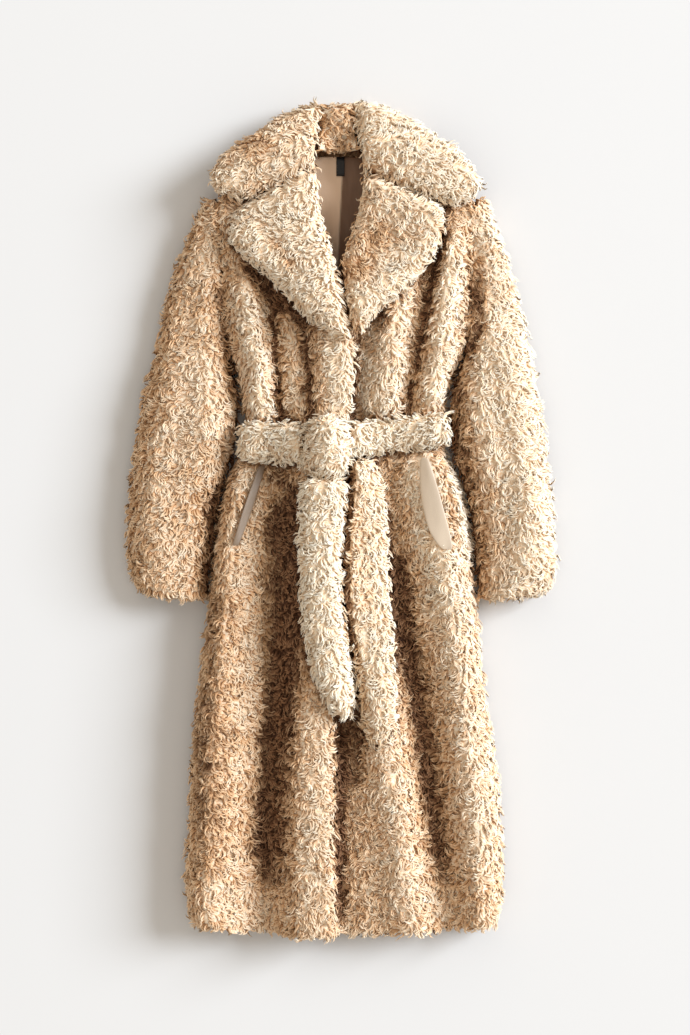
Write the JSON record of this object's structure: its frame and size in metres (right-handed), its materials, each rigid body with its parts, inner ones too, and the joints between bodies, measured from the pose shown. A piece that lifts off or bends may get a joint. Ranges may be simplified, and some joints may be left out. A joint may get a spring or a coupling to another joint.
{
  "type": "faux fur coat",
  "caption": "Long belted faux fur coat with notched collar, wide lapels, straight sleeves and slanted pockets, laid flat on its back with the belt tied.",
  "frame": {"origin": "centre of the coat's footprint on the surface that it lies on", "axes": "+Y runs up the coat from hem to collar, +Z out of its front, +X towards the wearer's left"},
  "size_m": [0.6339, 1.224, 0.1248],
  "materials": {
    "faux_fur": "curly pile",
    "belt_fur": "curly pile",
    "satin_lining": "satin",
    "pocket_satin": "satin",
    "label_cloth": "matte"
  },
  "bodies": {
    "root": {"back": "faux_fur", "front_right": "faux_fur", "front_left": "faux_fur", "sleeve_right_top": "faux_fur", "sleeve_right_under": "faux_fur", "sleeve_left_top": "faux_fur", "sleeve_left_under": "faux_fur", "collar_fall": "faux_fur", "collar_back": "faux_fur", "collar_right": "faux_fur", "collar_left": "faux_fur", "lapel_right": "faux_fur", "lapel_left": "faux_fur", "belt_back": "belt_fur", "belt_right": "belt_fur", "belt_left": "belt_fur", "belt_knot": "belt_fur", "belt_tail_right": "belt_fur", "belt_tail_left": "belt_fur", "lining_back": "satin_lining", "pocket_right": "pocket_satin", "pocket_left": "pocket_satin", "label": "label_cloth"}
  },
  "joints": []
}
